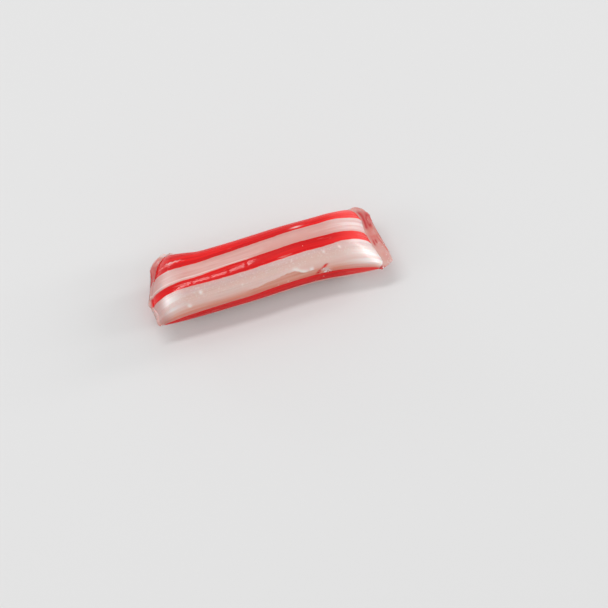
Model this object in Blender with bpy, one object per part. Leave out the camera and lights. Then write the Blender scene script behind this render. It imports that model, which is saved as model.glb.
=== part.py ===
"""A mint straw: one short stick of pulled sugar, white with red stripes, both ends pinched shut.

The warm striped rope is nipped off between two dies, so the stick is a soft rounded square in
the middle, spreads sideways towards each end, and closes from above and below to a thin edge
where it was snapped from its neighbour.

X runs along the stick, Y across it, Z up. It lies on a small flat, with the origin under the
middle of its box. Angles go round the section from +Y through the top.
"""

import math

import bmesh
import bpy

MM = 0.001

# Length: the two snapped edges on the middle line, before they are skewed and bowed
LEFT_EDGE = -18.75 * MM
RIGHT_EDGE = 18.95 * MM

# Section in the middle of the stick
HALF_WIDTH = 4.85 * MM
HALF_HEIGHT = 4.45 * MM
SQUARENESS = 2.8  # 2 is an ellipse, larger is squarer
FLAT_DEPTH = 0.10 * MM  # taken off the underside where the warm stick lay on the slab
SEAM_ANGLE = 150.0  # the die seam along the front, a low ridge
SEAM_SPREAD = 7.0
SEAM_HEIGHT = 0.022  # of the section's radius
TWIST = -6.0 / (20.0 * MM)  # degrees of turn of the rope per metre of length
SWAY = 0.07 * MM  # slow unevenness of the hand-drawn rope, sideways
SWAY_PITCH = 17.0 * MM
SWELL = 0.012  # and in its thickness, as a share of it
SWELL_PITCH = 23.0 * MM

# Ends: how far in each one spreads, tapers and skews, left then right
SPREAD_WIDTH = (5.95 * MM, 6.05 * MM)  # half width at the edge
SPREAD_REACH = (8.6 * MM, 12.6 * MM)
SPREAD_POWER = 1.8
SIDE_SHIFT = (0.95 * MM, -0.82 * MM)  # the edge sits off the middle line by this much
TAPER_REACH = (5.9 * MM, 5.9 * MM)  # over which the height closes
TAPER_BLUNTNESS = (1.55, 1.35)
FIN_LENGTH = (0.5 * MM, 1.5 * MM)  # thin edge past the taper
FIN_HALF_HEIGHT = 0.42 * MM
FIN_TIP_SHARE = 0.70  # height of the snapped edge against the fin's root
SKEW = (0.35, 0.20)  # slope of the edge, both ends splayed to the front
BOW = (1.15 * MM, -0.15 * MM)  # how far the edge's middle stands past its corners
CORNER_CUT = (0.85 * MM, 1.0 * MM)  # rounding of the edge's corners
CORNER_POWER = 10
SKEW_REACH = 16.0 * MM
# Bulges and dents in each edge's line: place across it, spread, and how far out it stands
BULGES = (
    ((0.72, 0.26, 0.75 * MM), (-0.70, 0.20, -0.65 * MM)),
    ((0.65, 0.42, 0.95 * MM), (-0.45, 0.35, 0.40 * MM), (-1.0, 0.12, -0.45 * MM)),
)
BULGE_REACH = 5.0 * MM
CHIP_DEPTH = (0.05 * MM, 0.11 * MM)  # ragged line of the snapped edge
CHIP_WAVES = (2.3, 5.1)  # coarse and fine, counted across half the edge
LUMP_HEIGHT = 0.55 * MM  # bead of sugar left standing on the left edge
LUMP_PLACE = -0.30  # across the edge, -1 front to 1 back
LUMP_SPREAD = 0.12

# Red stripes, from and to in degrees at mid length. The rest is white.
STRIPES = ((24.0, 65.0), (91.5, 112.5), (167.0, 199.0), (236.0, 282.0), (322.0, 341.0))

# Mesh
COLUMN_ANGLE = 6.6  # degrees between two lines along the stick
FINEST_STEP = 0.24 * MM  # between two sections at an end
STEP_GROWTH = 0.08
COARSEST_STEP = 0.70 * MM

RED = (0.60, 0.010, 0.013, 1.0)
WHITE = (0.83, 0.68, 0.63, 1.0)


def clear_scene():
    for item in list(bpy.data.objects):
        bpy.data.objects.remove(item, do_unlink=True)


def hard_candy(name, colour, roughness):
    """Boiled sugar: no metal, a glossy skin."""
    material = bpy.data.materials.new(name)
    material.use_nodes = True
    shader = material.node_tree.nodes["Principled BSDF"]
    shader.inputs["Base Color"].default_value = colour
    shader.inputs["Roughness"].default_value = roughness
    shader.inputs["Metallic"].default_value = 0.0
    material.diffuse_color = colour
    return material


def closeness(distance, reach):
    """1 at an end, falling straight to 0 at reach from it."""
    return min(max(1.0 - distance / reach, 0.0), 1.0)


def end_distances(x):
    return (x - LEFT_EDGE, RIGHT_EDGE - x)


def half_width(x):
    width = HALF_WIDTH
    for distance, spread, reach in zip(end_distances(x), SPREAD_WIDTH, SPREAD_REACH):
        width += (spread - HALF_WIDTH) * closeness(distance, reach) ** SPREAD_POWER
    return width


def half_height(x):
    """Full in the middle, closing over each taper to the fin, which thins to its tip."""
    swell = 1.0 + SWELL * math.cos(2.0 * math.pi * x / SWELL_PITCH)
    share = 1.0
    thinned = 0.0
    ends = zip(end_distances(x), TAPER_REACH, TAPER_BLUNTNESS, FIN_LENGTH)
    for distance, reach, bluntness, fin in ends:
        left_over = closeness(max(distance - fin, 0.0), reach)
        share *= (1.0 - left_over**2) ** (1.0 / bluntness)
        thinned += (1.0 - FIN_TIP_SHARE) * closeness(distance, fin)
    fin_height = FIN_HALF_HEIGHT * (1.0 - thinned)
    return fin_height + (HALF_HEIGHT - FIN_HALF_HEIGHT) * share * swell


def side_shift(x):
    shift = SWAY * math.sin(2.0 * math.pi * x / SWAY_PITCH)
    for distance, amount, reach in zip(end_distances(x), SIDE_SHIFT, SPREAD_REACH):
        shift += amount * closeness(distance, reach) ** 1.5
    return shift


def section_point(angle):
    """A point of the unit section: a superellipse with the seam's ridge on it."""
    across = math.cos(math.radians(angle))
    up = math.sin(math.radians(angle))
    radius = (abs(across) ** SQUARENESS + abs(up) ** SQUARENESS) ** (-1.0 / SQUARENESS)
    off_seam = (angle % 360.0 - SEAM_ANGLE) / SEAM_SPREAD
    radius *= 1.0 + SEAM_HEIGHT * math.exp(-(off_seam**2))
    return across * radius, up * radius


def ragged(across, depth, distance, fin):
    """Chips out of the snapped edge, fading to nothing at the fin's root."""
    coarse, fine = (math.sin(2.0 * math.pi * waves * across + waves) for waves in CHIP_WAVES)
    return depth * (coarse + 0.6 * fine) * closeness(distance, fin)


def bulging(x, across):
    """How far the bulges and dents of both edges move a point along the stick."""
    slide = 0.0
    for outwards, distance, bulges in zip((-1.0, 1.0), end_distances(x), BULGES):
        for place, spread, amount in bulges:
            bulge = amount * math.exp(-(((across - place) / spread) ** 2))
            slide += outwards * bulge * closeness(distance, BULGE_REACH) ** 1.5
    off_lump = (across - LUMP_PLACE) / LUMP_SPREAD
    slide -= LUMP_HEIGHT * math.exp(-(off_lump**2)) * closeness(x - LEFT_EDGE, 2.0 * LUMP_HEIGHT)
    return slide


def surface_point(x, angle):
    """The candy's surface at a station and at an angle that follows the rope's twist."""
    across, up = section_point(angle + TWIST * x)
    y = half_width(x) * across
    z = max(half_height(x) * up, FLAT_DEPTH - HALF_HEIGHT)
    slide = bulging(x, across)
    ends = zip((1.0, -1.0), end_distances(x), SKEW, BOW, CORNER_CUT, CHIP_DEPTH, FIN_LENGTH)
    for inwards, distance, skew, bow, corner, chip, fin in ends:
        cut = bow * across**2 + corner * abs(across) ** CORNER_POWER
        slide += inwards * closeness(distance, SKEW_REACH) * (skew * y + cut)
        slide += inwards * ragged(across, chip, distance, fin)
    return x + slide, y + side_shift(x), z


def stations():
    """Places of the sections, close together at the ends and wider apart in the middle."""
    places = [LEFT_EDGE]
    while places[-1] < RIGHT_EDGE:
        nearest = min(abs(distance) for distance in end_distances(places[-1]))
        step = min(FINEST_STEP + STEP_GROWTH * nearest, COARSEST_STEP)
        places.append(places[-1] + step)
    stretch = (RIGHT_EDGE - LEFT_EDGE) / (places[-1] - LEFT_EDGE)
    return [LEFT_EDGE + (place - LEFT_EDGE) * stretch for place in places]


def columns():
    """Angles of the lines along the stick, with one on every stripe's border, and the colour
    of the strip that follows each: 1 for red, 0 for white."""
    bands = []
    for number, (start, end) in enumerate(STRIPES):
        following = STRIPES[(number + 1) % len(STRIPES)][0] + 360.0 * (number + 1 == len(STRIPES))
        bands.append((start, end, 1))
        bands.append((end, following, 0))
    lines = []
    for start, end, colour in bands:
        count = max(round((end - start) / COLUMN_ANGLE), 2)
        for step in range(count):
            lines.append((start + (end - start) * step / count, colour))
    return lines


def straw_mesh():
    """One closed skin: a ring of points, drawn out section by section, then capped."""
    shape = bmesh.new()
    lines = columns()
    places = stations()
    ring = [shape.verts.new(surface_point(places[0], angle)) for angle, _ in lines]
    first_ring = list(ring)
    for place in places[1:]:
        next_ring = [shape.verts.new(surface_point(place, angle)) for angle, _ in lines]
        for number, (_, colour) in enumerate(lines):
            after = (number + 1) % len(lines)
            corners = (ring[number], next_ring[number], next_ring[after], ring[after])
            shape.faces.new(corners).material_index = colour
        ring = next_ring
    for rim in (first_ring, ring):
        edges = [edge for edge in shape.edges if edge.is_boundary and edge.verts[0] in rim]
        bmesh.ops.triangle_fill(shape, use_beauty=True, use_dissolve=False, edges=edges)
    bmesh.ops.recalc_face_normals(shape, faces=shape.faces)
    bmesh.ops.triangulate(shape, faces=shape.faces, quad_method="SHORT_EDGE")
    low = [min(vert.co[axis] for vert in shape.verts) for axis in range(3)]
    high = [max(vert.co[axis] for vert in shape.verts) for axis in range(3)]
    middle = ((low[0] + high[0]) / 2.0, (low[1] + high[1]) / 2.0, low[2])
    bmesh.ops.translate(shape, verts=shape.verts, vec=[-value for value in middle])
    mesh = bpy.data.meshes.new("mint_straw")
    shape.to_mesh(mesh)
    shape.free()
    return mesh


def main():
    clear_scene()
    mesh = straw_mesh()
    mesh.materials.append(hard_candy("white_pulled_sugar", WHITE, 0.30))
    mesh.materials.append(hard_candy("red_boiled_sugar", RED, 0.20))
    mesh.shade_smooth()
    mesh.set_sharp_from_angle(angle=math.radians(50.0))
    straw = bpy.data.objects.new("mint_straw", mesh)
    bpy.context.scene.collection.objects.link(straw)


main()
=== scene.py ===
import math
import random
from functools import partial

import bmesh
import bpy
from mathutils import Matrix, Vector, noise


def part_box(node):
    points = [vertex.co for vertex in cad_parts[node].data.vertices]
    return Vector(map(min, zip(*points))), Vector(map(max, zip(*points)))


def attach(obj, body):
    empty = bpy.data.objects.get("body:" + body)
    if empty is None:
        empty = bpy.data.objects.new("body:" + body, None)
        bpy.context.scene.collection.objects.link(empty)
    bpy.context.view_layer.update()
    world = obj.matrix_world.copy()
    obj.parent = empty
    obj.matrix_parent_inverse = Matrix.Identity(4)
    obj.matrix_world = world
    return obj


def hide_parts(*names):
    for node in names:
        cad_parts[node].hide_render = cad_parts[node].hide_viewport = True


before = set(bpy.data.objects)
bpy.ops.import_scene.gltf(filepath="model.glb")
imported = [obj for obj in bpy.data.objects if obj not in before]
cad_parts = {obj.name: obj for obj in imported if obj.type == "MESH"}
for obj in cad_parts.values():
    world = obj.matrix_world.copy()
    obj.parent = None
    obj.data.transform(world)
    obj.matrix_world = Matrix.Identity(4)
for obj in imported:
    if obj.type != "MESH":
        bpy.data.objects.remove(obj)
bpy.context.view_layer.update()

MM = 0.001

# ------------------------------------------------------------
# The stick's form
# A mint straw starts as a fat rope of pulled sugar, rolled with red ropes laid on it, drawn thin
# while warm and dropped between the two dies of a chain cutter, which nip it off every 38 mm.

LEFT_EDGE = -18.75 * MM
RIGHT_EDGE = 18.95 * MM
HALF_WIDTH = 4.85 * MM
HALF_HEIGHT = 4.45 * MM
SQUARENESS = 2.8  # 2 is an ellipse, larger is squarer
FLAT_DEPTH = 0.10 * MM  # taken off the underside, where the warm stick lay on the slab
TWIST = -6.0 / (20.0 * MM)  # degrees by which the rope turns per metre
SWAY, SWAY_PITCH = 0.07 * MM, 17.0 * MM  # slow unevenness of the hand-drawn rope, sideways
SWELL, SWELL_PITCH = 0.012, 23.0 * MM  # and in its thickness, as a share of it

# Each pair is the left end's value, then the right end's
SPREAD_WIDTH = (5.95 * MM, 6.05 * MM)  # half the width at the edge
SPREAD_REACH = (8.6 * MM, 12.6 * MM)
SPREAD_POWER = 1.8
SIDE_SHIFT = (0.95 * MM, -0.82 * MM)  # by which the edge sits off the middle line
SHIFT_POWER = 1.5  # how gently such a shift, or a bulge, starts
TAPER_REACH = (5.9 * MM, 5.9 * MM)  # over which the height closes
TAPER_BLUNTNESS = (1.55, 1.35)
FIN_LENGTH = (0.5 * MM, 1.5 * MM)  # of the thin edge past the taper
FIN_HALF_HEIGHT = 0.42 * MM
SKEW = (0.35, 0.20)  # slope of the edge, both ends splayed to the front
BOW = (1.15 * MM, -0.15 * MM)  # how far the edge's middle stands past its corners
CORNER_CUT = (0.85 * MM, 1.0 * MM)  # rounding of the edge's corners
CORNER_POWER = 10
SKEW_REACH = 16.0 * MM
# Where each snapped edge bulges out or is dented: place across it, spread, and how far it goes
BULGES = (
    ((0.72, 0.26, 0.75 * MM), (-0.70, 0.20, -0.65 * MM)),
    ((0.65, 0.42, 0.95 * MM), (-0.45, 0.35, 0.40 * MM), (-1.0, 0.12, -0.45 * MM)),
)
BULGE_REACH = 5.0 * MM

# Degrees round the section from the back through the top, at mid length, and the degrees by which
# the stripes have turned to the front at each end
RED_STRIPES = ((24.0, 65.0), (91.5, 112.5), (167.0, 199.0), (236.0, 282.0), (322.0, 341.0))
UNWINDING = (3.2, -0.8)
UNWINDING_LEFT = (-6.0 * MM, -14.0 * MM)
UNWINDING_RIGHT = (7.0 * MM, 13.0 * MM)


def closeness(distance, reach):
    """1 at an end, falling straight to 0 at reach from it."""
    return min(max(1.0 - distance / reach, 0.0), 1.0)


def bell(value):
    """1 at 0, falling off smoothly on both sides of it."""
    return math.exp(-(value**2))


def end_distances(x):
    return (x - LEFT_EDGE, RIGHT_EDGE - x)


def half_width(x):
    width = HALF_WIDTH
    for distance, spread, reach in zip(end_distances(x), SPREAD_WIDTH, SPREAD_REACH):
        width += (spread - HALF_WIDTH) * closeness(distance, reach) ** SPREAD_POWER
    return width


def taper_share(x):
    """1 along the stick, 0 where each taper has closed onto its edge."""
    share = 1.0
    ends = zip(end_distances(x), TAPER_REACH, TAPER_BLUNTNESS, FIN_LENGTH)
    for distance, reach, bluntness, fin in ends:
        left_over = closeness(max(distance - fin, 0.0), reach)
        share *= (1.0 - left_over**2) ** (1.0 / bluntness)
    return share


def half_height(x):
    swell = 1.0 + SWELL * math.cos(math.tau * x / SWELL_PITCH)
    return FIN_HALF_HEIGHT + (HALF_HEIGHT - FIN_HALF_HEIGHT) * taper_share(x) * swell


def side_shift(x):
    shift = SWAY * math.sin(math.tau * x / SWAY_PITCH)
    for distance, amount, reach in zip(end_distances(x), SIDE_SHIFT, SPREAD_REACH):
        shift += amount * closeness(distance, reach) ** SHIFT_POWER
    return shift


def unit_section(angle):
    """A point of the rounded square that is 1 from middle to face."""
    across = math.cos(math.radians(angle))
    up = math.sin(math.radians(angle))
    radius = (abs(across) ** SQUARENESS + abs(up) ** SQUARENESS) ** (-1.0 / SQUARENESS)
    return across * radius, up * radius


def end_slide(x, across, y):
    """How far a point moves along the stick for the skewed, bowed edges with cut corners."""
    slide = 0.0
    ends = zip((1.0, -1.0), end_distances(x), SKEW, BOW, CORNER_CUT)
    for inwards, distance, skew, bow, corner in ends:
        cut = bow * across**2 + corner * abs(across) ** CORNER_POWER
        slide += inwards * closeness(distance, SKEW_REACH) * (skew * y + cut)
    for outwards, distance, bulges in zip((-1.0, 1.0), end_distances(x), BULGES):
        for place, spread, amount in bulges:
            bulge = amount * bell((across - place) / spread)
            slide += outwards * bulge * closeness(distance, BULGE_REACH) ** SHIFT_POWER
    return slide


def form_point(x, angle):
    """The smooth form, before any relief, with x along it and the axis at the origin."""
    across, up = unit_section(angle + TWIST * x)
    y = half_width(x) * across
    z = max(half_height(x) * up, FLAT_DEPTH - HALF_HEIGHT)
    return Vector((x + end_slide(x, across, y), y + side_shift(x), z))


# The solid has the origin under the middle of its box, so the form is moved onto it
FORM_STEPS = 120
FORM_TURN = 3  # degrees
smooth_form = [
    form_point(LEFT_EDGE + (RIGHT_EDGE - LEFT_EDGE) * step / FORM_STEPS, angle)
    for step in range(FORM_STEPS + 1)
    for angle in range(0, 360, FORM_TURN)
]
form_low = Vector([min(point[axis] for point in smooth_form) for axis in range(3)])
form_high = Vector([max(point[axis] for point in smooth_form) for axis in range(3)])
solid_low, solid_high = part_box("mint_straw")
ONTO_SOLID = (solid_low + solid_high - form_low - form_high) / 2.0
ONTO_SOLID.z = solid_low.z - form_low.z


# ------------------------------------------------------------
# The candy body
# Pulled sugar: boiled sugar folded on a hook until fine threads of air turn it white and silky,
# with clear red sugar laid on in stripes. The dies leave shallow ribs on the top and underside.

AROUND = 240
ALONG = 372
END_CROWDING = 0.55  # share by which rings are closer together at the ends
ROPE_RADIUS = 4.7 * MM  # of the round rope that the stripes and threads were laid out on
FACE_TILT = (0.11, -0.02)  # slope of the faces across the stick, at its left and from its middle
FACE_TILT_SPAN = (-15.0 * MM, 2.0 * MM)
NOSE_REACH = 0.35 * MM  # over which the body rounds off inside its clear edge
NOSE_BLUNTNESS = 0.01  # square of the share of its height that is left at its very end
EDGE_GAP = (1.2 * MM, 0.35 * MM)  # how much further back the sugar stops than the clear edge
LEFT_GAP_SPAN = (0.1, 0.8)  # across the stick, over which the left one opens to the back
RIGHT_GAP_MIDDLE, RIGHT_GAP_SPREAD = -0.35, 0.45  # across the stick
GAP_REACH = 3.0 * MM
THIN_HEIGHT = 1.6 * MM  # half height below which the relief fades

RIB_PITCH = 2.9 * MM
RIB_WANDER = 0.9 * MM
RIB_WIDTH = 0.22 * MM
RIB_DEPTH = (0.025 * MM, 0.07 * MM)  # top, underside
RIB_SMILE = 0.9 * MM  # how far a rib's ends run ahead of its middle
RIB_UP, RIB_ACROSS = (0.55, 0.9), (0.35, 0.65)  # where ribs set in and end, in half heights and widths
RIB_FADE = (-3.0 * MM, 1.0 * MM)  # where the top's ribs fade out, under the worn part of the die
RIB_ON_WHITE = 0.3  # share of a rib's depth that shows in the white
# Each grain is a pattern's width across the rope, then its length along it
RIB_PATCHES = (2.0 * MM, 4.0 * MM)  # in which the ribs are deeper or shallower
PATCH_SHARE, PATCH_CHANGE = 0.75, 0.5  # of a rib's depth, and how much it changes between patches
THREAD_DEPTH, FINE_THREAD_DEPTH = 0.018 * MM, 0.009 * MM
THREAD_GRAIN, FINE_THREAD_GRAIN = (0.55 * MM, 9.0 * MM), (0.26 * MM, 5.0 * MM)
WAVE_DEPTH, WAVE_GRAIN = 0.05 * MM, (3.4 * MM, 6.0 * MM)
GATHER_DEPTH, GATHER_GRAIN = 0.07 * MM, (0.9 * MM, 14.0 * MM)  # slow folds of a gathered end
PLEAT_DEPTH, PLEAT_GRAIN = 0.035 * MM, (0.35 * MM, 8.0 * MM)  # and the fine pleats on them
GROOVE_DEPTH = 0.012 * MM  # along a stripe's borders
GROOVE_WIDTH = 1.1  # degrees
RED_STEP = 0.5  # of the groove's depth, by which the red stands proud
RED_SMOOTHNESS = 0.8  # share by which the red stripes' relief is less than the white's
RED_RIPPLE, RIPPLE_GRAIN = 0.004 * MM, (0.7 * MM, 1.0 * MM)  # the small dents in their glassy skin

SEAM_ANGLE = 152.0
SEAM_SPREAD = 2.6
SEAM_HEIGHT = 0.10 * MM
SEAM_START = (0.0, 9.0 * MM)
FLAKE_DEPTH = 0.14 * MM
FLAKE_SPAN = (-4.8 * MM, 9.0 * MM)
FLAKE_ENDS = (2.0 * MM, 1.0 * MM)  # over which it starts and ends
FLAKE_CREST = (3.9 * MM, 142.5)  # where the flaked patch reaches furthest up the front
FLAKE_STEEP = 1.6 * MM  # over which its line falls on the crest's right
FLAKE_FALL = 8.5  # degrees from its crest down to its ends
FLAKE_WANDER = ((2.4, 1.5 * MM, 3.1), (1.2, 0.5 * MM, 7.7))  # of its line: degrees, length, seed
FLAKE_STEP = 0.7  # degrees on each side of its line, over which the skin steps down
FLAKE_FOOT = (158.0, 164.0)  # angles where it runs out
LIP_RISE, LIP_WIDTH = 3.4, 4.0  # degrees: how far the lip's ridge is above the line, and its width
LIP_HEIGHT = 0.5  # of the flake's depth
FLAKE_CURLS = ((4.85 * MM, 1.15 * MM), (6.6 * MM, 0.35 * MM))  # where the lip curls up: middle, reach
LIP_BETWEEN = 0.25  # share of the lip's height before and between those places
NICK_PLACE = (8.8 * MM, 157.0)
NICK_SIZE = (1.0 * MM, 6.0)
NICK_DEPTH = 0.20 * MM
NICK_ROUGHNESS, NICK_GRAIN = 0.9, (0.25 * MM, 2.0)
SCAR_PLACE = (8.24 * MM, 154.5)  # middle of the red scratch through the nick
SCAR_SLOPE = -13.6 / MM  # degrees per metre: it climbs to the right
SCAR_REACH, SCAR_FADE = 12.5, 4.0  # degrees to each side of its middle, the last ones fading
SCAR_WIDTH = 0.32 * MM
SCAR_DEPTH = 0.04 * MM
BLISTERS = (  # raised grains under the skin: place along, angle, radius
    (-11.0 * MM, 125.0, 0.34 * MM),
    (-13.3 * MM, 143.0, 0.38 * MM),
    (-4.6 * MM, 133.0, 0.20 * MM),
    (-0.4 * MM, 127.0, 0.15 * MM),
    (1.0 * MM, 163.5, 0.14 * MM),
    (2.7 * MM, 161.5, 0.16 * MM),
    (3.9 * MM, 122.0, 0.18 * MM),
    (9.1 * MM, 122.0, 0.24 * MM),
    (11.7 * MM, 120.0, 0.26 * MM),
)
BLISTER_HEIGHT = 0.28  # of its radius
BLISTER_STEEPNESS = 1.6
WHITEST_BLISTER = 0.30 * MM  # radius from which a blister is fully pale, its pale partly a painted glint
BORDER_HIGHLIGHT = (88.8, 0.9)  # angle and width of the painted highlight, a white line, that follows the second stripe
BORDER_HIGHLIGHT_END = (-1.0 * MM, -4.0 * MM)  # where it fades
FIRST_STRIPE_GLINT = (6.6 * MM, 59.0)  # where a painted highlight lies on the first stripe
FIRST_STRIPE_GLINT_SIZE = (0.8 * MM, 1.6)
BLISTER_PALE_AND_GLINT, BORDER_HIGHLIGHT_WHITE, GLINT_WHITE, NICK_WHITE = 0.8, 0.6, 0.8, 0.7  # how pale each one is
FIRST_STRIPE_GLINT_LINES = (  # painted highlights, as pale lines, in the first stripe's left end: middle, angle, reach, width in degrees, share
    (-15.1 * MM, 54.0, 1.3 * MM, 1.1, 0.75),
    (-16.5 * MM, 57.5, 1.5 * MM, 0.6, 0.35),
)
THREAD_CURL, THREAD_CURL_PITCH = 0.9, 0.8 * MM  # degrees by which such a painted highlight line curls


def smooth_step(low, high, value):
    part = min(max((value - low) / (high - low), 0.0), 1.0)
    return part * part * (3.0 - 2.0 * part)


def rope_point(x, angle):
    """Where a point of the skin was on the round rope, for patterns that follow the pull."""
    turn = math.radians(angle)
    return Vector((x, ROPE_RADIUS * math.cos(turn), ROPE_RADIUS * math.sin(turn)))


def drawn_out(point, across_size, along_size):
    """Noise stretched along the rope, about -1 to 1, with its grain sizes in metres."""
    return noise.noise((point.x / along_size, point.y / across_size, point.z / across_size))


def stripe_relief(angle):
    """How red a place is, and the relief there: red ropes stand a hair proud of the white, with
    a fine groove along their borders."""
    redness, groove = 0.0, 0.0
    for start, end in RED_STRIPES:
        redness += smooth_step(start - 1.0, start + 1.0, angle)
        redness -= smooth_step(end - 1.0, end + 1.0, angle)
        for border in (start, end):
            groove += bell((angle - border) / GROOVE_WIDTH)
    return redness, RED_STEP * redness - groove


def rib_relief(x, across, up, redness):
    """Narrow grooves across the two faces that met the dies, crisper in the glassy red."""
    face = smooth_step(*RIB_UP, abs(up)) * (1.0 - smooth_step(*RIB_ACROSS, abs(across)))
    face *= taper_share(x) ** 2 * (RIB_ON_WHITE + (1.0 - RIB_ON_WHITE) * redness)
    if up > 0.0:
        face *= 1.0 - smooth_step(*RIB_FADE, x)
    wander = RIB_WANDER * noise.noise((x / RIB_PITCH, 4.0, up))
    place = (x + RIB_SMILE * across**2 + wander) / RIB_PITCH
    off_rib = (place - round(place)) * RIB_PITCH / RIB_WIDTH
    depth = RIB_DEPTH[0] if up > 0.0 else RIB_DEPTH[1]
    return -depth * face * bell(off_rib)


def flake_marks(x, angle):
    """How much a point lies on the lip of the flaked patch, and how much inside it."""
    start, end = FLAKE_SPAN
    crest_x, crest = FLAKE_CREST
    inside = smooth_step(start, start + FLAKE_ENDS[0], x)
    inside *= 1.0 - smooth_step(end - FLAKE_ENDS[1], end, x)
    far_side = start if x < crest_x else crest_x + FLAKE_STEEP
    line = crest + FLAKE_FALL * smooth_step(0.0, 1.0, (x - crest_x) / (far_side - crest_x))
    for wander, length, seed in FLAKE_WANDER:
        line += wander * noise.noise((x / length, seed, 0.0))
    below = smooth_step(line - FLAKE_STEP, line + FLAKE_STEP, angle)
    below *= 1.0 - smooth_step(*FLAKE_FOOT, angle)
    lip = bell((angle - line + LIP_RISE) / LIP_WIDTH) * (1.0 - below)
    curled = max(math.exp(-(((x - middle) / reach) ** 4)) for middle, reach in FLAKE_CURLS)
    lip *= curled + LIP_BETWEEN * (1.0 - curled) * (x < FLAKE_CURLS[-1][0])
    return lip * inside, below * inside


def nick_marks(x, angle):
    """How much a point lies in the small knock at the seam, and on the red scratch through it."""
    along, round_it = x - NICK_PLACE[0], angle - NICK_PLACE[1]
    grain = noise.noise((x / NICK_GRAIN[0], angle / NICK_GRAIN[1], 5.0))
    rough = 1.0 + NICK_ROUGHNESS * grain
    knock = rough * math.exp(-2.0 * ((along / NICK_SIZE[0]) ** 2 + (round_it / NICK_SIZE[1]) ** 2))
    off_middle = angle - SCAR_PLACE[1]
    off_scar = (x - SCAR_PLACE[0] - off_middle / SCAR_SLOPE) / SCAR_WIDTH
    faded = smooth_step(SCAR_REACH - SCAR_FADE, SCAR_REACH, abs(off_middle))
    return knock, bell(off_scar) * (1.0 - faded)


def blister_share(x, angle):
    """The blisters' radius at their middles, falling off round them."""
    share = 0.0
    for place, place_angle, radius in BLISTERS:
        off_round = math.radians(angle - place_angle) * ROPE_RADIUS
        distance = math.hypot(x - place, off_round) / radius
        share += radius * math.exp(-(distance**2) * BLISTER_STEEPNESS)
    return share


def skin_point(x, angle):
    """The candy's real skin: the form with all its relief pushed in or out along its normal."""
    across, up = unit_section(angle + TWIST * x)
    width, height = half_width(x), half_height(x)
    rope, full_angle = rope_point(x, angle), angle % 360.0
    redness, stripe_step = stripe_relief(full_angle)
    relief = THREAD_DEPTH * drawn_out(rope, *THREAD_GRAIN)
    relief += FINE_THREAD_DEPTH * drawn_out(rope, *FINE_THREAD_GRAIN)
    relief *= 1.0 - RED_SMOOTHNESS * redness
    relief += RED_RIPPLE * redness * drawn_out(rope, *RIPPLE_GRAIN)
    relief += WAVE_DEPTH * drawn_out(rope, *WAVE_GRAIN)
    relief += GROOVE_DEPTH * stripe_step
    patch = PATCH_SHARE + PATCH_CHANGE * drawn_out(rope, *RIB_PATCHES)
    relief += rib_relief(x, across, up, redness) * patch
    seam = bell((full_angle - SEAM_ANGLE) / SEAM_SPREAD)
    relief += SEAM_HEIGHT * seam * smooth_step(*SEAM_START, x)
    lip, below = flake_marks(x, full_angle)
    knock, scar = nick_marks(x, full_angle)
    relief += FLAKE_DEPTH * (LIP_HEIGHT * lip - below) - NICK_DEPTH * knock - SCAR_DEPTH * scar
    relief += BLISTER_HEIGHT * blister_share(x, full_angle)
    closed = 1.0 - taper_share(x)
    relief += GATHER_DEPTH * closed * drawn_out(rope, *GATHER_GRAIN)
    relief += PLEAT_DEPTH * closed**0.5 * drawn_out(rope, *PLEAT_GRAIN)
    relief *= min(height / THIN_HEIGHT, 1.0)
    normal_y = math.copysign(abs(across) ** (SQUARENESS - 1.0), across) / width
    normal_z = math.copysign(abs(up) ** (SQUARENESS - 1.0), up) / height
    moved = form_point(x, angle) + Vector((0.0, normal_y, normal_z)).normalized() * relief
    tilt = FACE_TILT[0] + (FACE_TILT[1] - FACE_TILT[0]) * smooth_step(*FACE_TILT_SPAN, x)
    moved.z -= tilt * across * (1.0 - across**2) * width * taper_share(x)
    moved.z = max(moved.z, FLAT_DEPTH - HALF_HEIGHT)
    return moved


def rolled_tube(around, along):
    """A tube of quads along X, from -1 to 1, that draw_out then brings to its real form."""
    shape = bmesh.new()
    bmesh.ops.create_cone(shape, cap_ends=False, segments=around, radius1=1.0, radius2=1.0, depth=2.0)
    for vert in shape.verts:
        vert.co = Vector((vert.co.z, vert.co.x, vert.co.y))
    lengthwise = [edge for edge in shape.edges if edge.verts[0].co.x * edge.verts[1].co.x < 0.0]
    bmesh.ops.subdivide_edges(shape, edges=lengthwise, cuts=along, use_grid_fill=True)
    return shape


def draw_out(shape, start, end, surface):
    """Moves a rolled tube's vertices onto a surface between two places along the stick, and
    keeps where each was on the rope."""
    rope_layer = shape.verts.layers.float_vector.new("rope")
    for vert in shape.verts:
        angle = math.degrees(math.atan2(vert.co.z, vert.co.y)) % 360.0
        eased = (1.0 - END_CROWDING) * vert.co.x + END_CROWDING * math.sin(vert.co.x * math.pi / 2.0)
        x = start + (end - start) * (eased + 1.0) / 2.0
        vert[rope_layer] = rope_point(x, angle)
        vert.co = surface(x, angle) + ONTO_SOLID


def new_object(name, data):
    made = bpy.data.objects.new(name, data)
    bpy.context.scene.collection.objects.link(made)
    return made


def finish_mesh(name, shape, smooth=True):
    """Closes the ends, turns every face outwards and makes the object, at the origin."""
    bmesh.ops.holes_fill(shape, edges=[edge for edge in shape.edges if edge.is_boundary], sides=0)
    bmesh.ops.triangulate(shape, faces=[face for face in shape.faces if len(face.verts) > 4])
    bmesh.ops.recalc_face_normals(shape, faces=shape.faces)
    for face in shape.faces:
        face.smooth = smooth
    mesh = bpy.data.meshes.new(name)
    shape.to_mesh(mesh)
    shape.free()
    return new_object(name, mesh)


BODY_START = LEFT_EDGE
BODY_END = RIGHT_EDGE - FIN_LENGTH[1] + NOSE_REACH


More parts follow.
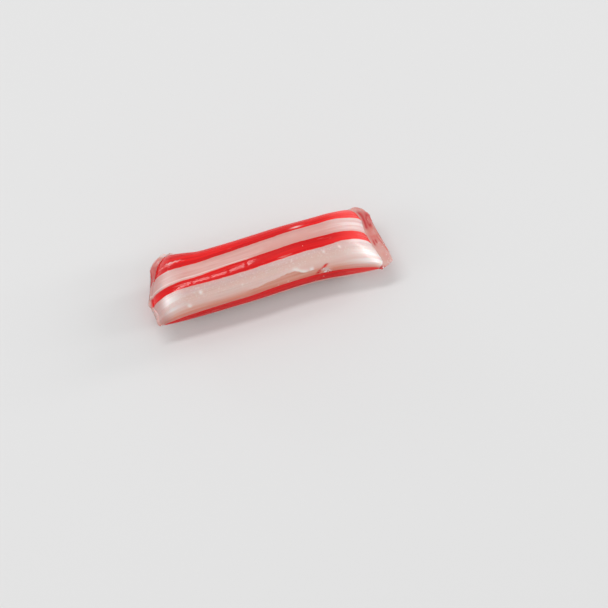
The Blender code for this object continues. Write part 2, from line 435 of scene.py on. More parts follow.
def edge_gap(side, across):
    """How much further back the sugar stops: at the left edge's back corner, and in the middle
    of the right edge."""
    if side == 0:
        return EDGE_GAP[0] * smooth_step(*LEFT_GAP_SPAN, across)
    return EDGE_GAP[1] * bell((across - RIGHT_GAP_MIDDLE) / RIGHT_GAP_SPREAD)


def body_point(x, angle):
    """The skin, with its ends drawn back from the clear edge and rounded off inside it."""
    moved = skin_point(x, angle)
    nose = closeness(min(x - BODY_START, BODY_END - x), NOSE_REACH)
    moved.z *= math.sqrt(max(1.0 - nose**2, NOSE_BLUNTNESS))
    across = unit_section(angle + TWIST * x)[0]
    moved.x += edge_gap(0, across) * closeness(x - BODY_START, GAP_REACH)
    moved.x -= edge_gap(1, across) * closeness(BODY_END - x, GAP_REACH)
    return moved


def pale_marks_and_highlights(x, angle):
    """How pale a point is: on a blister, pale and partly painted highlight, and on the painted
    highlights along the second stripe and in the first stripe."""
    # blisters are painted pale, partly as their glints
    pale_and_highlight = BLISTER_PALE_AND_GLINT * min(blister_share(x, angle) / WHITEST_BLISTER, 1.0)
    # a painted highlight along the second stripe's upper border
    line_angle = BORDER_HIGHLIGHT[0] + UNWINDING[0] * smooth_step(*UNWINDING_LEFT, x)
    border = bell((angle - line_angle) / BORDER_HIGHLIGHT[1])
    pale_and_highlight = max(pale_and_highlight, BORDER_HIGHLIGHT_WHITE * border * smooth_step(*BORDER_HIGHLIGHT_END, x))
    # a painted glint on the first stripe
    off_glint = (x - FIRST_STRIPE_GLINT[0]) / FIRST_STRIPE_GLINT_SIZE[0], (angle - FIRST_STRIPE_GLINT[1]) / FIRST_STRIPE_GLINT_SIZE[1]
    pale_and_highlight = max(pale_and_highlight, GLINT_WHITE * math.exp(-(off_glint[0] ** 2) - off_glint[1] ** 2))
    # painted highlight lines in the first stripe's left end
    for middle, middle_angle, reach, width, share in FIRST_STRIPE_GLINT_LINES:
        curl = THREAD_CURL * math.sin(math.tau * x / THREAD_CURL_PITCH)
        off_thread = (angle - middle_angle - curl * share) / width
        pale_and_highlight = max(pale_and_highlight, share * math.exp(-(((x - middle) / reach) ** 4) - off_thread**2))
    return pale_and_highlight


body_shape = rolled_tube(AROUND, ALONG)
draw_out(body_shape, BODY_START, BODY_END, body_point)
# Marks that the colour follows: all that is pale or painted highlight, the flaked patch's inside,
# which takes painted shade, and the red scratch
rope_layer = body_shape.verts.layers.float_vector["rope"]
marks_layer = body_shape.verts.layers.float_vector.new("marks")
for vert in body_shape.verts:
    place = vert[rope_layer]
    place_angle = math.degrees(math.atan2(place.z, place.y)) % 360.0
    knock, scar = nick_marks(place.x, place_angle)
    lip, below = flake_marks(place.x, place_angle)
    # the flake's lip is painted pale as a highlight, over its raised relief
    pale_and_highlight = max(lip, pale_marks_and_highlights(place.x, place_angle), NICK_WHITE * min(knock, 1.0))
    vert[marks_layer] = (pale_and_highlight, below, scar)
candy_body = finish_mesh("candy_body", body_shape)


def linear(hex_colour):
    """An sRGB hex colour as linear RGBA."""
    values = [int(hex_colour[place : place + 2], 16) / 255.0 for place in (1, 3, 5)]
    values = [v / 12.92 if v <= 0.04045 else ((v + 0.055) / 1.055) ** 2.4 for v in values]
    return (*values, 1.0)


def give(socket, value):
    """Links an output to a node's input, or sets the input's value."""
    if isinstance(value, bpy.types.NodeSocket):
        socket.id_data.links.new(value, socket)
    else:
        socket.default_value = value


def set_inputs(shader, values):
    for name, value in values.items():
        give(shader.inputs[name], value)


def add_node(tree, kind, *inputs, stops=(), **settings):
    """Adds a node and returns its first output. The inputs, which are values to set or outputs
    to link, go to its sockets in their order. A colour ramp takes stops of place and colour."""
    made = tree.nodes.new(kind)
    for name, value in settings.items():
        setattr(made, name, value)
    for socket, value in zip([socket for socket in made.inputs if socket.enabled], inputs):
        give(socket, value)
    for number, (place, colour) in enumerate(stops):
        elements = made.color_ramp.elements
        stop = elements[number] if number < len(elements) else elements.new(place)
        stop.position = place
        stop.color = colour
    return next(socket for socket in made.outputs if socket.enabled)


# Whites by angle, from the back over the top to the front. The sugar is silky and cool beside the
# second stripe and creamier along the front. The deeper pink between the first two stripes is partly
# painted red bounce light, and the peach low on the front is painted shade tinted by red bounce light.
WHITE_AND_SHADE_TINTS = (
    (0.0, "#E6CBC6"), (22.0, "#E0B4AE"), (64.0, "#D29A93"), (74.0, "#D9A7A0"), (90.0, "#D69C94"),
    (111.0, "#D4A9A2"), (118.0, "#D8B7B3"), (125.0, "#DFBDB3"), (134.0, "#E7C8BF"),
    (144.0, "#EAC4BB"), (151.0, "#E6AA99"), (158.0, "#E39480"), (165.0, "#DC8474"),
    (200.0, "#DFAEA6"), (235.0, "#E2B6AF"), (283.0, "#DFB0A8"), (300.0, "#E8CCC7"), (359.0, "#E6CBC6"),
)
BLACK, FAINT, DIM, GREY, WHITE = ((share, share, share, 1.0) for share in (0.0, 0.15, 0.4, 0.6, 1.0))
BORDER_SLOPE = 8.0  # degrees on each side of a border, over which a stripe's ramp rises
STRIPE_BLUR = 0.45  # degrees, 0.04 mm: the red sugar bleeds a little into the white
PINCH = (8.0, 4.5)  # degrees by which a border draws back at most, at the left and right end
PINCH_LEFT, PINCH_RIGHT = (-5.0 * MM, -14.5 * MM), (9.0 * MM, 17.0 * MM)
DRIFT = 2.6  # degrees by which a stripe's border wanders slowly
FRAY = 0.8  # and by which it frays


def shader_of(material):
    material.use_nodes = True
    return material.node_tree.nodes["Principled BSDF"]


def boiled_sugar(name):
    """A new material, its shader with sugar's refraction, and a call that adds its nodes."""
    material = bpy.data.materials.new(name)
    shader = shader_of(material)
    set_inputs(shader, {"IOR": 1.5})
    return material, shader, partial(add_node, material.node_tree)


def attribute_parts(add, name):
    """A mesh attribute, and its three numbers."""
    vector = add("ShaderNodeAttribute", attribute_name=name).node.outputs["Vector"]
    return vector, *add("ShaderNodeSeparateXYZ", vector).node.outputs


def rope_places(add):
    """Where a point was on the rope: the place, how far along it, and how far round it from the
    back over the top, in radians and as a share of a turn."""
    rope, x, y, z = attribute_parts(add, "rope")
    angle = add("ShaderNodeMath", z, y, operation="ARCTAN2")
    turn = add("ShaderNodeMath", angle, 0.5 / math.pi, 1.0, operation="MULTIPLY_ADD")
    return rope, x, angle, add("ShaderNodeMath", turn, operation="FRACT")


def pulled_threads(add, rope, across_size, along_size, detail, offset):
    """Threads in the sugar: noise drawn out along the rope, with its grain sizes in metres."""
    scale = (1.0 / along_size, 1.0 / across_size, 1.0 / across_size)
    placed = add("ShaderNodeMapping", rope, (offset,) * 3, (0.0,) * 3, scale)
    return add("ShaderNodeTexNoise", placed, 1.0, detail, 0.55)


def striped(add, rope, x, turn):
    """1 inside the red stripes and 0 in the white, which bleed into each other a little."""
    ease = partial(add, "ShaderNodeMapRange", interpolation_type="SMOOTHSTEP")
    multiply_add = partial(add, "ShaderNodeMath", operation="MULTIPLY_ADD")

    # Where a point is across the stripes, after their borders have wandered, frayed and unwound
    drift = pulled_threads(add, rope, 2.5 * MM, 7.0 * MM, 3.0, 0.0)
    fray = pulled_threads(add, rope, 0.22 * MM, 1.4 * MM, 2.0, 4.0)
    centring = -(DRIFT + FRAY) / 360.0
    unwound = centring - UNWINDING[0] / 360.0
    place = ease(x, *UNWINDING_LEFT, centring, unwound)
    unwound = ease(x, *UNWINDING_RIGHT, 0.0, -UNWINDING[1] / 360.0)
    place = add("ShaderNodeMath", place, unwound, operation="ADD")
    place = add("ShaderNodeMath", place, turn, operation="ADD")
    place = multiply_add(drift, DRIFT / 180.0, place)
    place = multiply_add(fray, FRAY / 180.0, place)
    stops = []
    for start, end in RED_STRIPES:
        for border, before, after in ((start, BLACK, WHITE), (end, WHITE, BLACK)):
            stops.append(((border - BORDER_SLOPE) / 360.0, before))
            stops.append(((border + BORDER_SLOPE) / 360.0, after))
    inside = add("ShaderNodeValToRGB", place, stops=stops)

    # The second stripe narrows towards both ends, mostly from its front border. The third does so
    # from its back border, and the first from its own, towards the right end only
    first, third = RED_STRIPES[0][0] / 360.0, RED_STRIPES[2][0] / 360.0
    first_stops = [(first - 0.02, BLACK), (first, WHITE), (first + 0.03, BLACK)]
    start, end = (border / 360.0 for border in RED_STRIPES[1])
    stops = [(start - 0.02, BLACK), (start, FAINT), (end, WHITE), (end + 0.02, BLACK)]
    left_stops = stops + [(third - 0.02, BLACK), (third, DIM), (third + 0.03, BLACK)]
    right_stops = first_stops + stops + [(third - 0.02, BLACK), (third, WHITE), (third + 0.07, BLACK)]
    pinched_left = add("ShaderNodeValToRGB", place, stops=left_stops)
    pinched_right = add("ShaderNodeValToRGB", place, stops=right_stops)
    left, right = (pinch / (2.0 * BORDER_SLOPE) for pinch in PINCH)
    left_pinch = ease(x, *PINCH_LEFT, 0.0, left)
    right_pinch = ease(x, *PINCH_RIGHT, 0.0, right)
    pinched_left = add("ShaderNodeMath", pinched_left, left_pinch, operation="MULTIPLY")
    pinched = multiply_add(pinched_right, right_pinch, pinched_left)
    inside = add("ShaderNodeMath", inside, pinched, operation="SUBTRACT")
    blur = STRIPE_BLUR / (2.0 * BORDER_SLOPE)
    return add("ShaderNodeMapRange", inside, 0.5 - blur, 0.5 + blur)


def candy_skin():
    """Pulled sugar, glazed by its own clear syrup: satin threads of air under a glassy skin,
    and red boiled sugar that is clearer, deeper and glossier than the white."""
    material, shader, add = boiled_sugar("pulled_sugar_satin")
    mix = partial(add, "ShaderNodeMix", data_type="RGBA")
    ease = partial(add, "ShaderNodeMapRange", interpolation_type="SMOOTHSTEP")
    multiply = partial(add, "ShaderNodeMath", operation="MULTIPLY")
    multiply_add = partial(add, "ShaderNodeMath", operation="MULTIPLY_ADD")
    rope, x, angle, turn = rope_places(add)
    _, pale_and_highlight, recess_shade_mask, scar = attribute_parts(add, "marks")
    red_share = striped(add, rope, x, turn)

    # Threads of air, 0.1 to 0.5 mm wide and many times as long
    broad_threads = pulled_threads(add, rope, 0.55 * MM, 14.0 * MM, 3.0, 1.0)
    fine_threads = pulled_threads(add, rope, 0.13 * MM, 6.0 * MM, 2.0, 2.0)
    clouds = pulled_threads(add, rope, 2.0 * MM, 5.0 * MM, 3.0, 3.0)
    # the whites by angle, with their painted shade and bounce light low on the front
    tints = [(angle / 360.0, linear(tint)) for angle, tint in WHITE_AND_SHADE_TINTS]
    white = add("ShaderNodeValToRGB", turn, stops=tints)
    lighter = ease(broad_threads, 0.50, 0.72, 0.0, 0.22)
    white = mix(lighter, white, linear("#F4E6E2"))
    rosier = ease(fine_threads, 0.46, 0.30, 0.0, 0.18)
    white = mix(rosier, white, linear("#C98F86"))
    cloudy = ease(clouds, 0.55, 0.75, 0.0, 0.20)
    white = mix(cloudy, white, linear("#EBD3CD"))

    # Grains of 0.12 mm dried under the skin, in a band beside the second stripe, painted pale partly
    # as their glints
    grains_and_glints = add("ShaderNodeTexNoise", rope, 1.0 / (0.24 * MM), 1.0, 0.5)
    grains_and_glints = ease(grains_and_glints, 0.54, 0.74, 0.0, 0.38)
    band = [(0.30, BLACK), (0.325, WHITE), (0.36, WHITE), (0.39, FAINT), (0.43, BLACK)]
    band = add("ShaderNodeValToRGB", turn, stops=band)
    grains_and_glints = multiply(grains_and_glints, band)
    white = mix(grains_and_glints, white, linear("#F2E6E3"))

    # The dies squeezed the ends silky white: the right one all round, the left one at the front.
    # Painted highlight makes them whiter still where the side lamps catch them
    right_span = (RIGHT_EDGE - 9.0 * MM, RIGHT_EDGE - 3.0 * MM)
    left_span = (LEFT_EDGE + 6.0 * MM, LEFT_EDGE + 2.5 * MM)
    right_squeeze = ease(x, *right_span)
    left_squeeze = ease(x, *left_span)
    right_silk_and_highlight = [(0.0, GREY), (0.29, GREY), (0.32, WHITE), (0.40, WHITE), (0.46, DIM), (0.6, GREY)]
    right_silk_and_highlight = add("ShaderNodeValToRGB", turn, stops=right_silk_and_highlight)
    left_silk_and_highlight = [(0.0, DIM), (0.29, DIM), (0.32, WHITE), (0.37, WHITE), (0.42, BLACK)]
    left_silk_and_highlight = add("ShaderNodeValToRGB", turn, stops=left_silk_and_highlight)
    right_silk_and_highlight = multiply(right_squeeze, right_silk_and_highlight)
    left_silk_and_highlight = multiply(left_squeeze, left_silk_and_highlight)
    squeezed_and_highlit = add("ShaderNodeMath", right_silk_and_highlight, left_silk_and_highlight, operation="MAXIMUM")
    silk_and_highlight = ease(broad_threads, 0.38, 0.62, 0.35, 0.95)
    silk_and_highlight = multiply(squeezed_and_highlit, silk_and_highlight)
    white = mix(silk_and_highlight, white, linear("#F8F1F0"))

    # Painted shade darkens the white by the left tip, and painted shade makes it peach and streaky
    # where the patch flaked off
    left_tip_shade_span = (LEFT_EDGE + 3.0 * MM, LEFT_EDGE + 0.9 * MM)
    left_tip_shade = ease(x, *left_tip_shade_span, 0.0, 0.7)
    white = mix(left_tip_shade, white, linear("#BC8781"))
    # the flaked patch's inside is painted peach as its shade
    flake_recess_shade = ease(broad_threads, 0.35, 0.62)
    flake_recess_shade = mix(flake_recess_shade, linear("#D98874"), linear("#E8AF9D"))
    recess_shade_mask = multiply(recess_shade_mask, 0.85)
    white = mix(recess_shade_mask, white, flake_recess_shade)

    # The red is streaky too, with thin spots, and brighter where the right end was stretched
    deeper = ease(broad_threads, 0.35, 0.65)
    red = mix(deeper, linear("#CE070C"), linear("#E61416"))
    streaky = ease(fine_threads, 0.55, 0.72, 0.0, 0.30)
    red = mix(streaky, red, linear("#EA3532"))
    thin_spots = pulled_threads(add, rope, 0.42 * MM, 4.2 * MM, 2.0, 9.0)
    thin_spots = ease(thin_spots, 0.66, 0.74, 0.0, 0.6)
    red = mix(thin_spots, red, linear("#E8807A"))
    stretched = multiply(right_squeeze, 0.65)
    red = mix(stretched, red, linear("#FF4A46"))

    # The red thins out on the left tip, where the dies met
    tip = ease(x, LEFT_EDGE, LEFT_EDGE + 0.5 * MM)
    kept = add("ShaderNodeMapRange", turn, 0.21, 0.24, 1.0, 0.4)
    kept = add("ShaderNodeMath", tip, kept, operation="MAXIMUM")
    red_share = multiply(red_share, kept)
    red_share = add("ShaderNodeMath", red_share, scar, operation="MAXIMUM")
    colour = mix(red_share, white, red)
    # pale marks and painted highlights over the colour
    colour = mix(pale_and_highlight, colour, linear("#F8EEEA"))

    # The white is satin and pearly from its threads, but less so between the first two stripes,
    # the red is glassy, and the tips are dull
    right_tip = ease(x, BODY_END - 0.1 * MM, BODY_END - 0.5 * MM)
    tips = multiply(tip, right_tip)
    dulled = add("ShaderNodeMath", 1.0, tips, operation="SUBTRACT")
    roughness = multiply_add(broad_threads, 0.25, 0.215)
    roughness = multiply_add(red_share, -0.14, roughness)
    roughness = multiply_add(dulled, 0.25, roughness)
    roughness = multiply_add(right_squeeze, 0.08, roughness)
    lustre = ease(broad_threads, 0.35, 0.65, 0.15, 0.35)
    pearly = [(0.17, WHITE), (0.20, FAINT), (0.26, FAINT), (0.31, WHITE)]
    pearly = add("ShaderNodeValToRGB", turn, stops=pearly)
    lustre = multiply(lustre, pearly)
    not_red = add("ShaderNodeMath", 1.0, red_share, operation="SUBTRACT")
    lustre = multiply(lustre, not_red)
    lustre = multiply(lustre, tips)

    # The dies polished the top and underside, and left the sides duller
    face_turn = multiply_add(x, math.radians(TWIST), angle)
    polish = add("ShaderNodeMath", face_turn, operation="SINE")
    polish = add("ShaderNodeMath", polish, operation="ABSOLUTE")
    polish = ease(polish, 0.45, 0.95, 0.0, 1.0)
    glaze = add("ShaderNodeMapRange", red_share, 0.0, 1.0, 0.06, 0.42)
    polish = multiply(polish, glaze)
    polish = multiply(polish, tips)

    # Dimples of 0.35 mm from the slab, and the threads themselves
    dimples = add("ShaderNodeTexNoise", rope, 1.0 / (0.35 * MM), 2.0, 0.5)
    dimples = multiply(dimples, 0.35)
    height = multiply_add(fine_threads, 0.55, dimples)
    relief = add("ShaderNodeBump", 0.35, 0.03 * MM, 0.1, height)

    set_inputs(shader, {
        "Base Color": colour, "Roughness": roughness, "Metallic": lustre, "Coat Weight": polish,
        "Normal": relief, "Specular IOR Level": 0.08, "Subsurface Weight": 0.5,
        "Subsurface Radius": (1.0, 0.35, 0.25), "Subsurface Scale": 0.7 * MM,
        "Coat Roughness": 0.06, "Coat IOR": 1.5,
    })
    return material


candy_body.data.materials.append(candy_skin())
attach(candy_body, "root")
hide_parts("mint_straw")


# ------------------------------------------------------------
# The snapped edges
# Where the dies closed, the clear syrup skin is squeezed out into a thin glassy edge, which was
# broken off by hand. It is clear boiled sugar, rosy from the red in it, chipped along its line.

EDGE_AROUND = 280
EDGE_ALONG = 40
EDGE_DEPTH_INSIDE = (1.9 * MM, 1.0 * MM)  # how far the clear edge reaches back into the body
EDGE_WIDTH = 1.004  # of the body's
EDGE_THINNING, EDGE_NARROWING = (0.5, 0.3), 0.12  # shares by which it is less in there
TIP_THINNING, TIP_ROUNDING = 0.30, 0.22 * MM  # share at the snapped line, and where it rounds off
TIP_BLUNTNESS = 0.12  # square of the share of its height that is left at its very end
FRONT_CUT = 1.1 * MM  # by which the right edge's front corner slopes back
FRONT_CUT_SPAN = (-0.82, -1.0)  # across the stick
SWIRL_PLACE = (18.58 * MM, 2.95 * MM)  # along the stick, and off its middle line
SWIRL_SIZE = (0.34 * MM, 1.0 * MM)
SWIRL_LINE = 0.38  # of its size
SWIRL_RED, SWIRL_CHANGE, SWIRL_GRAIN = 0.8, 0.6, (0.5 * MM, 0.8 * MM)  # it is patchy
STROKES = (  # along the stick, off its middle line, and reach
    (17.72 * MM, -1.40 * MM, 0.60 * MM),
    (18.16 * MM, -1.15 * MM, 0.42 * MM),
)
STROKE_SLANT, STROKE_WIDTH = 0.21, 0.14 * MM
# Spans are places across the stick: a mark sets in between the first two, and where there are
# four, it ends between the last two
SMEAR_PLACE, SMEAR_WIDTH, SMEAR_SPAN = 17.88 * MM, 0.26 * MM, (0.15, 0.3, 0.75, 0.9)
RIM_LINE_PLACE, RIM_LINE_WIDTH, RIM_LINE_SPAN = 18.78 * MM, 0.07 * MM, (-0.65, -0.5, -0.15, 0.0)
TAIL_SPAN = (-0.92, -0.97)  # over which the third stripe's tail sets in
STROKE_RED, SMEAR_RED, RIM_LINE_RED, TAIL_RED = 0.9, 0.9, 0.7, 0.85  # how red each one is
RIM_THREAD_PLACE = 0.12 * MM  # in from the left snapped line
RIM_THREAD_WIDTH, RIM_THREAD_SPAN = 0.10 * MM, (0.05, 0.2, 0.68, 0.8)
FLUSH_RED = 0.45  # of the deep rose beside it
PALE_RIM = 0.22 * MM  # width of the whitish line along the left edge's back corner, partly a painted highlight on its rounded rim
PALE_RIM_SPAN, PALE_BACK_SPAN = (0.55, 0.75), (0.90, 0.96)  # the back is pale further in too
RIM_PALE_AND_HIGHLIGHT = 0.9
FLASH_WIDTH = (0.03, 0.10)  # share by which the left edge's flash stands out, and more inside it
FLASH_SPAN = (0.5, 0.9)
FRONT_GAP = 0.22 * MM  # by which the left edge's clear sugar stays inside the white at the front
FRONT_GAP_SPAN = (0.1, -0.2)
UNEVENNESS = 0.22  # share by which the edge is thicker or thinner in places
UNEVEN_GRAIN = (0.25, 1.3 * MM)  # size of those places: share of half the width, and inwards
CHIP_DEPTH = (0.09 * MM, 0.108 * MM)
CHIPS = (  # share, number across half the edge, left and right seed, change from face to face
    (1.0, 7.0, (1.0, 4.0), 0.0),
    (0.6, 19.0, (6.0, 6.0), 1.5),
    (0.35, 47.0, (9.0, 9.0), 3.0),
)
LUMP_HEIGHT = 0.55 * MM  # of the bead of sugar left standing on the left edge
LUMP_PLACE = -0.30  # across the edge, -1 front to 1 back
LUMP_SPREAD = 0.12


def edge_point(x, angle):
    """A flat lip as wide as the stick, rounded to a chipped line."""
    across, up = unit_section(angle + TWIST * x)
    side = 0 if x < 0.0 else 1
    distance, fin = end_distances(x)[side], FIN_LENGTH[side]
    inside = smooth_step(fin - 0.1 * MM, fin + EDGE_DEPTH_INSIDE[side], distance)
    y = half_width(x) * across * (EDGE_WIDTH - EDGE_NARROWING * inside)
    if side == 0 and across > 0.0:
        y *= 1.0 + (FLASH_WIDTH[0] + FLASH_WIDTH[1] * inside) * smooth_step(*FLASH_SPAN, across)
    outer = closeness(distance, fin)
    tip = closeness(distance, TIP_ROUNDING)
    high = FIN_HALF_HEIGHT * (1.0 - TIP_THINNING * outer) * (1.0 - EDGE_THINNING[side] * inside)
    high *= math.sqrt(max(1.0 - tip**2, TIP_BLUNTNESS))
    seed = 2.0 if up > 0 else 8.0
    uneven = noise.noise((across / UNEVEN_GRAIN[0], seed, distance / UNEVEN_GRAIN[1]))
    high *= 1.0 + UNEVENNESS * uneven
    ragged = 0.0
    for share, count, seeds, change in CHIPS:
        ragged += share * noise.noise((across * count, seeds[side], up * change))
    inwards = 1.0 if side == 0 else -1.0
    slide = end_slide(x, across, y) + inwards * CHIP_DEPTH[side] * ragged * outer
    if side == 1:
        slide -= FRONT_CUT * smooth_step(*FRONT_CUT_SPAN, across) * outer
    if side == 0:
        off_lump = (across - LUMP_PLACE) / LUMP_SPREAD
        slide -= LUMP_HEIGHT * bell(off_lump) * outer
        slide += FRONT_GAP * smooth_step(*FRONT_GAP_SPAN, across)
    return Vector((x + slide, y + side_shift(x), high * up))


def within(span, across):
    """1 between a span's middle two places, and 0 outside it."""
    return smooth_step(span[0], span[1], across) * smooth_step(span[3], span[2], across)


def red_in_left(x, across):
    """Red drawn into the left edge: a thread along its line, and a deep rose flush inside it."""
    off_thread = (x - LEFT_EDGE - RIM_THREAD_PLACE) / RIM_THREAD_WIDTH
    return within(RIM_THREAD_SPAN, across) * max(bell(off_thread), FLUSH_RED)


def red_in_right(x, across):
    """Red drawn into the right edge: a swirl at its back, strokes from the second stripe, a smear
    along the body between the two, a dark line along its rim, and the third stripe's tail."""
    aside = across * SPREAD_WIDTH[1]
    swirl = math.hypot((x - SWIRL_PLACE[0]) / SWIRL_SIZE[0], (aside - SWIRL_PLACE[1]) / SWIRL_SIZE[1])
    patch = noise.noise((x / SWIRL_GRAIN[0], aside / SWIRL_GRAIN[1], 3.0))
    red = bell((swirl - 1.0) / SWIRL_LINE) * (SWIRL_RED + SWIRL_CHANGE * patch)
    for place, middle, stroke_reach in STROKES:
        off_stroke = (x - place - STROKE_SLANT * (aside - middle)) / STROKE_WIDTH
        stroke = math.exp(-(off_stroke**2) - ((aside - middle) / stroke_reach) ** 4)
        red = max(red, STROKE_RED * stroke)
    smear = bell((x - SMEAR_PLACE) / SMEAR_WIDTH) * within(SMEAR_SPAN, across)
    rim_line = bell((x - RIM_LINE_PLACE) / RIM_LINE_WIDTH) * within(RIM_LINE_SPAN, across)
    tail = smooth_step(*TAIL_SPAN, across)
    return max(red, SMEAR_RED * smear, RIM_LINE_RED * rim_line, TAIL_RED * tail)


def snapped_edge(name, start, end):
    """The lip, marked with how far each point is out from the body, how much red was caught
    there, and how pale its line is, partly as a painted highlight."""
    shape = rolled_tube(EDGE_AROUND, EDGE_ALONG)
    draw_out(shape, start, end, edge_point)
    rope_layer = shape.verts.layers.float_vector["rope"]
    marks_layer = shape.verts.layers.float_vector.new("marks")
    for vert in shape.verts:
        place = vert[rope_layer]
        across = unit_section(math.degrees(math.atan2(place.z, place.y)) + TWIST * place.x)[0]
        if place.x < 0.0:
            outward = BODY_START + NOSE_REACH / 2.0 + edge_gap(0, across) - place.x
            red = red_in_left(place.x, across)
        else:
            outward = place.x - BODY_END + NOSE_REACH / 2.0 + edge_gap(1, across)
            red = red_in_right(place.x, across)
        at_rim = closeness(place.x - LEFT_EDGE, PALE_RIM) ** 0.5
        at_rim = max(at_rim, smooth_step(*PALE_BACK_SPAN, across)) * (place.x < 0.0)
        pale_rim_and_highlight = RIM_PALE_AND_HIGHLIGHT * at_rim * smooth_step(*PALE_RIM_SPAN, across)
        vert[marks_layer] = (max(outward, 0.0) / MM, red, pale_rim_and_highlight)
    return finish_mesh(name, shape)


left_root = LEFT_EDGE + FIN_LENGTH[0] + EDGE_DEPTH_INSIDE[0]
right_root = RIGHT_EDGE - FIN_LENGTH[1] - EDGE_DEPTH_INSIDE[1]
left_edge = snapped_edge("snapped_edge_left", LEFT_EDGE, left_root)
right_edge = snapped_edge("snapped_edge_right", right_root, RIGHT_EDGE)


# The clear sugar's tint by angle: deep rose beside the first stripe, paler towards the front
ROSY_TINTS = (
    (0.0, "#E0ABA3"), (20.0, "#E5ACA5"), (45.0, "#E2938D"), (70.0, "#E0807A"), (85.0, "#E39288"),
    (97.0, "#E2857D"), (112.0, "#E39F96"), (150.0, "#E6B4AC"), (180.0, "#E0867E"), (215.0, "#E6B9B0"),
    (255.0, "#DD7E78"), (300.0, "#E3ABA3"), (359.0, "#E0ABA3"),
)


def clear_rosy_sugar():
    """Boiled sugar without air: clear and rosy, with the red that was drawn out into it."""
    material, shader, add = boiled_sugar("clear_rosy_sugar")
    mix = partial(add, "ShaderNodeMix", data_type="RGBA")
    rope, _, _, turn = rope_places(add)
    _, outward, caught_red, pale_rim_and_highlight = attribute_parts(add, "marks")

    # White bleeds 0.5 mm out of the body, and beyond that the sugar is clear
    bleeding = add("ShaderNodeMapRange", outward, 0.05, 0.5, 0.6, 0.0)
    cloud = pulled_threads(add, rope, 0.9 * MM, 0.9 * MM, 1.0, 5.0)
    tints = [(angle / 360.0, linear(tint)) for angle, tint in ROSY_TINTS]
    rosy = add("ShaderNodeValToRGB", turn, stops=tints)
    cloudy = add("ShaderNodeMapRange", cloud, 0.40, 0.70, 0.0, 0.35)
    rosy = mix(cloudy, rosy, linear("#F0CFC8"))
    rosy = mix(bleeding, rosy, linear("#EAC4BC"))
    coloured = mix(caught_red, rosy, linear("#D01C26"))
    coloured = mix(pale_rim_and_highlight, coloured, linear("#F4E2DE"))
    frost = add("ShaderNodeTexNoise", rope, 1.0 / (0.9 * MM), 2.0)
    relief = add("ShaderNodeBump", 0.4, 0.06 * MM, 0.1, frost)
    roughness = add("ShaderNodeMapRange", cloud, 0.45, 0.7, 0.06, 0.2)
    set_inputs(shader, {
        "Base Color": coloured, "Roughness": roughness, "Normal": relief,
        "Transmission Weight": 0.2, "Subsurface Weight": 0.6,
        "Subsurface Radius": (1.0, 0.35, 0.25), "Subsurface Scale": 0.5 * MM,
    })
    return material


rosy_sugar = clear_rosy_sugar()
for edge in (left_edge, right_edge):
    edge.data.materials.append(rosy_sugar)
    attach(edge, "root")
    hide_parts("mint_straw")


# ------------------------------------------------------------
# Crumbs
# Splinters of the broken edge, 0.1 to 0.4 mm, stick where the sugar was still tacky: along the
# snapped lines, in the nick, and a few on the faces.

GRAIN_SEED = 38
# How many splinters, and their smallest and largest size in millimetres
EDGE_GRAINS, EDGE_GRAIN_SIZE = 70, (0.08, 0.24)
NICK_GRAINS, NICK_GRAIN_SIZE = 20, (0.14, 0.42)
FACE_GRAINS, FACE_GRAIN_SIZE = 26, (0.08, 0.18)
LEFT_SHARE = 0.25  # of the edges' splinters
EDGE_GRAIN_REACH = (0.5, 0.7)  # millimetres in from the left and right snapped lines
FACE_SPAN = (LEFT_EDGE + 3.0 * MM, RIGHT_EDGE - 4.0 * MM)
FACE_ANGLES = (20.0, 200.0)
# Where they gather: middle and spread, in millimetres along the stick, then degrees round it
EDGE_CLUSTER = (133.0, 10.0)  # degrees only
NICK_CLUSTER = ((0.2, 0.5), (4.5, 3.0))  # from the nick's place
FACE_CLUSTER = ((6.0, 3.0), (119.0, 3.0))
NARROWING = 0.25  # of a splinter round its axis


def add_grain(shape, draw, place, sizes):
    """One splinter: a rough lump of twenty facets, squashed, and narrowed round an axis."""
    place = place + ONTO_SOLID
    size = draw.uniform(*sizes) * MM
    made = bmesh.ops.create_icosphere(shape, subdivisions=1, radius=size / 2.0)
    stretch = Vector([draw.uniform(0.55, 1.25) for axis in range(3)])
    along = Vector([draw.uniform(-1.0, 1.0) for axis in range(3)]).normalized()
    for vert in made["verts"]:
        vert.co = vert.co * stretch * draw.uniform(0.75, 1.25)
        vert.co = vert.co.lerp(along * vert.co.dot(along), NARROWING) + place


draw = random.Random(GRAIN_SEED)
grain_shape = bmesh.new()
for _ in range(EDGE_GRAINS):
    if draw.random() < LEFT_SHARE:
        x = LEFT_EDGE + draw.uniform(0.0, EDGE_GRAIN_REACH[0]) * MM
    else:
        x = RIGHT_EDGE - draw.uniform(0.0, EDGE_GRAIN_REACH[1]) * MM
    angle = draw.choice((draw.gauss(*EDGE_CLUSTER), draw.uniform(0.0, 360.0)))
    add_grain(grain_shape, draw, edge_point(x, angle), EDGE_GRAIN_SIZE)
for _ in range(NICK_GRAINS):
    x = NICK_PLACE[0] + draw.gauss(*NICK_CLUSTER[0]) * MM
    angle = NICK_PLACE[1] + draw.gauss(*NICK_CLUSTER[1])
    add_grain(grain_shape, draw, skin_point(x, angle), NICK_GRAIN_SIZE)
for _ in range(FACE_GRAINS):
    x = draw.choice((draw.uniform(*FACE_SPAN), draw.gauss(*FACE_CLUSTER[0]) * MM))
    angle = draw.choice((draw.uniform(*FACE_ANGLES), draw.gauss(*FACE_CLUSTER[1])))
    add_grain(grain_shape, draw, skin_point(x, angle), FACE_GRAIN_SIZE)
crumbs = finish_mesh("sugar_crumbs", grain_shape, smooth=False)


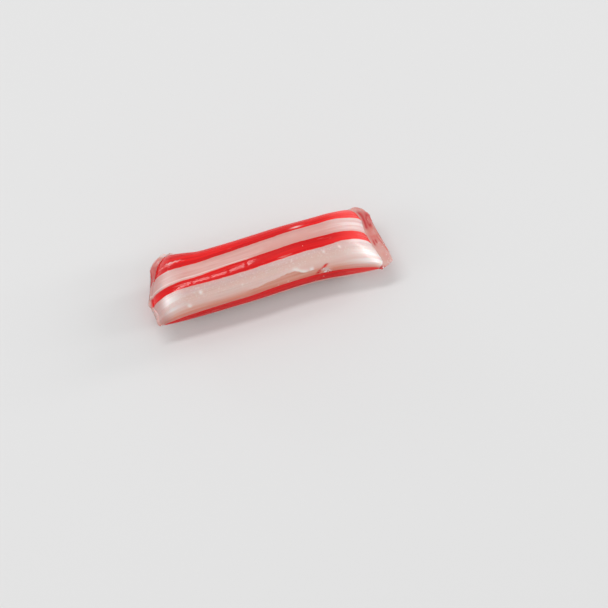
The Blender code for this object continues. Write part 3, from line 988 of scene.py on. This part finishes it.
def broken_sugar():
    """Broken boiled sugar: bright glassy facets, whiter than the stick because they are tiny."""
    material, shader, add = boiled_sugar("broken_sugar")
    place = add("ShaderNodeTexCoord").node.outputs["Object"]
    cloud = add("ShaderNodeTexNoise", place, 1.0 / (0.6 * MM), 1.0)
    share = add("ShaderNodeMapRange", cloud, 0.4, 0.6)
    tint = add("ShaderNodeMix", share, linear("#F6DEDA"), linear("#FFF8F6"), data_type="RGBA")
    roughness = add("ShaderNodeMapRange", cloud, 0.3, 0.7, 0.12, 0.35)
    set_inputs(shader, {"Base Color": tint, "Roughness": roughness, "Transmission Weight": 0.1})
    return material


crumbs.data.materials.append(broken_sugar())
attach(crumbs, "root")
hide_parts("mint_straw")


# ------------------------------------------------------------
# Table top, studio light and camera
# A wide white board in a pale light tent, with soft lamps at the left and right ends, above and
# behind, and the camera looking steeply down.

FLOOR_SIZE = 3.0  # metres
floor_shape = bmesh.new()
bmesh.ops.create_grid(floor_shape, x_segments=8, y_segments=8, size=FLOOR_SIZE / 2.0)
floor_mesh = bpy.data.meshes.new("table_top")
floor_shape.to_mesh(floor_mesh)
floor_shape.free()
table_top = new_object("table_top", floor_mesh)
board = bpy.data.materials.new("white_board")
set_inputs(shader_of(board), {"Base Color": linear("#DEDEDE"), "Roughness": 0.6})
floor_mesh.materials.append(board)


def softbox(name, place, size, power):
    """A lamp facing the candy, with its width as near along the stick as that allows. Its place
    and size are in metres, its power in watts."""
    lamp = bpy.data.lights.new(name, "AREA")
    lamp.shape = "RECTANGLE"
    lamp.size, lamp.size_y = size
    lamp.energy = power
    holder = new_object(name, lamp)
    backwards = Vector(place).normalized()
    upwards = backwards.cross(Vector((1.0, 0.0, 0.0))).normalized()
    sideways = upwards.cross(backwards)
    holder.location = place
    holder.rotation_euler = Matrix((sideways, upwards, backwards)).transposed().to_euler()


softbox("left_box", (-0.63, 0.05, 0.30), (0.20, 0.30), 0.45)
softbox("right_back_box", (0.66, 0.16, 0.25), (0.36, 0.10), 1.0)
softbox("right_front_box", (0.66, -0.18, 0.25), (0.36, 0.10), 0.85)
softbox("top_strip", (-0.20, 0.25, 0.75), (0.60, 0.10), 1.7)
softbox("back_strip", (-0.40, 0.72, 0.20), (0.25, 0.10), 0.3)

world = bpy.data.worlds.new("pale_room")
world.use_nodes = True
set_inputs(world.node_tree.nodes["Background"], {"Color": linear("#F2F2F2"), "Strength": 0.75})
bpy.context.scene.world = world
bpy.context.scene.view_settings.view_transform = "Standard"

# The camera stands left of the stick's middle, so that the stick runs up to the right. Its aim
# lies right of and below the stick, which then fills the upper left of the frame's middle.
CAMERA_TURN = 18.4
CAMERA_HEIGHT_ANGLE = 66.0
CAMERA_DISTANCE = 272.0 * MM
AIM_RIGHT = 6.54 * MM
AIM_DOWN = 6.27 * MM

turn, tilt = math.radians(CAMERA_TURN), math.radians(CAMERA_HEIGHT_ANGLE)
level = math.cos(tilt)
towards_camera = Vector((-math.sin(turn) * level, -math.cos(turn) * level, math.sin(tilt)))
picture_right = Vector((math.cos(turn), -math.sin(turn), 0.0))
picture_up = towards_camera.cross(picture_right)
aim = ONTO_SOLID + picture_right * AIM_RIGHT - picture_up * AIM_DOWN
camera_data = bpy.data.cameras.new("camera")
camera_data.lens = 100.0
camera_data.sensor_width = 36.0
camera_data.clip_start = 0.01
camera = new_object("camera", camera_data)
camera.location = aim + towards_camera * CAMERA_DISTANCE
camera.rotation_euler = towards_camera.to_track_quat("Z", "Y").to_euler()
bpy.context.scene.camera = camera
